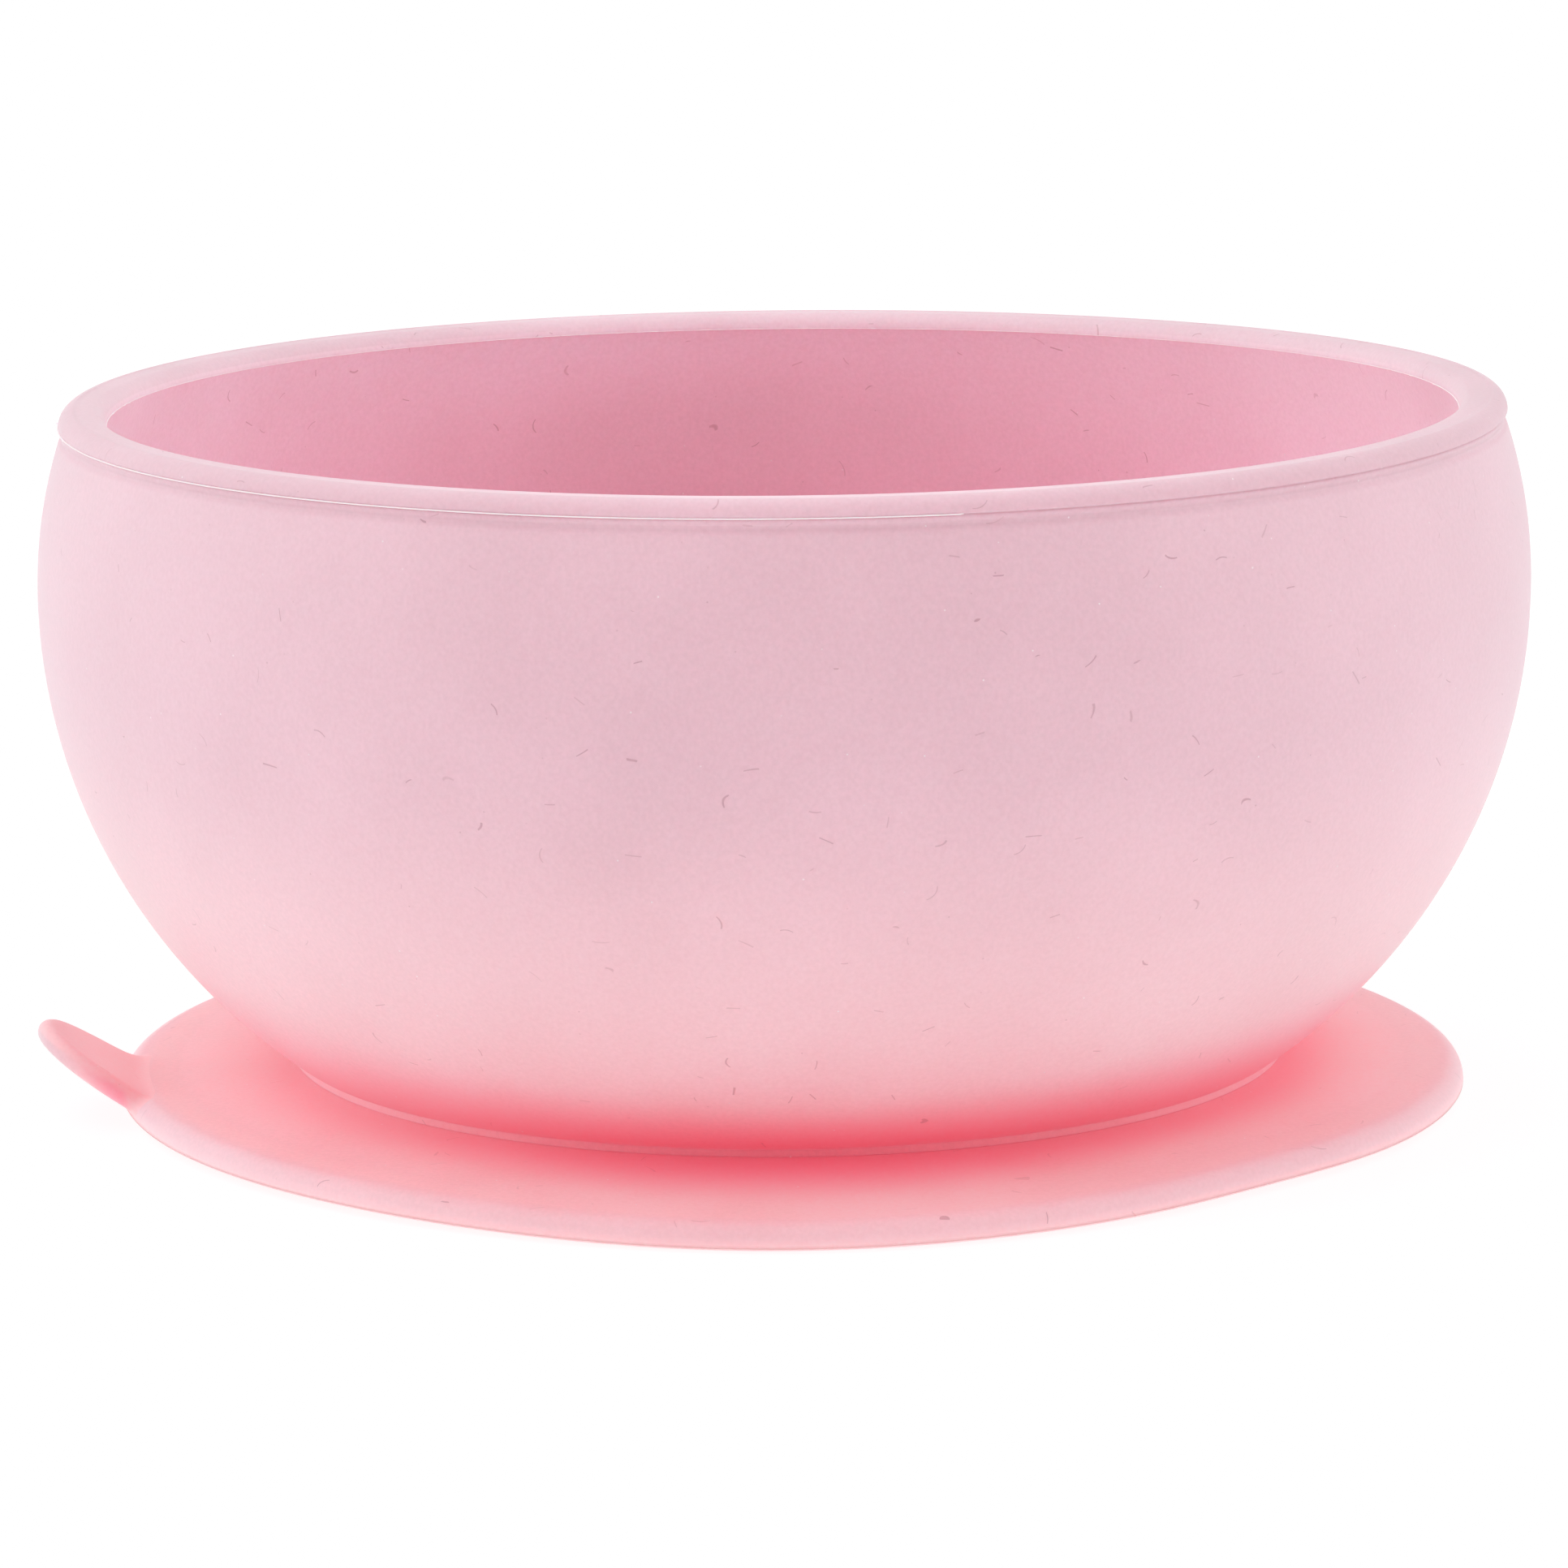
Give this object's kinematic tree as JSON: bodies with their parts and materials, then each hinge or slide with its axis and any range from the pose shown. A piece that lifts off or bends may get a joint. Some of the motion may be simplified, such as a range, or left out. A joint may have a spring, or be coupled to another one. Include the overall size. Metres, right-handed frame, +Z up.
{
  "type": "suction bowl",
  "caption": "Round silicone baby bowl with a thick rounded rim, standing on a wider suction disc that has a small sloped release tab.",
  "frame": {"origin": "on the bowl's axis, at the table plane that the sealing lip rests on", "axes": "+Z up; -X towards the release tab; +Y completes the right-handed frame"},
  "size_m": [0.1284, 0.1266, 0.0595],
  "materials": {
    "silicone_bowl": "matte moulded silicone, pale rose, slightly translucent",
    "silicone_base": "matte moulded silicone, warm pink, slightly translucent"
  },
  "bodies": {
    "suction_base": {"sealing_lip": "silicone_base", "suction_membrane": "silicone_base"},
    "bowl": {"bowl_shell": "silicone_bowl", "suction_hub": "silicone_base"},
    "tab": {"release_tab": "silicone_base"}
  },
  "joints": [
    {"name": "press_down", "type": "slide", "parent": "suction_base", "child": "bowl", "axis": [0, 0, 1], "range_m": [-0.0018, 0], "stiffness_N_per_m": 6000, "springref_m": 0.0003, "deforming": ["suction_membrane"]},
    {"name": "tab_flex", "type": "hinge", "parent": "suction_base", "child": "tab", "pos_m": [-0.0562, 0, 0.00095], "axis": [0, 1, 0], "range_deg": [-33, 51], "stiffness_Nm_per_rad": 0.004}
  ]
}
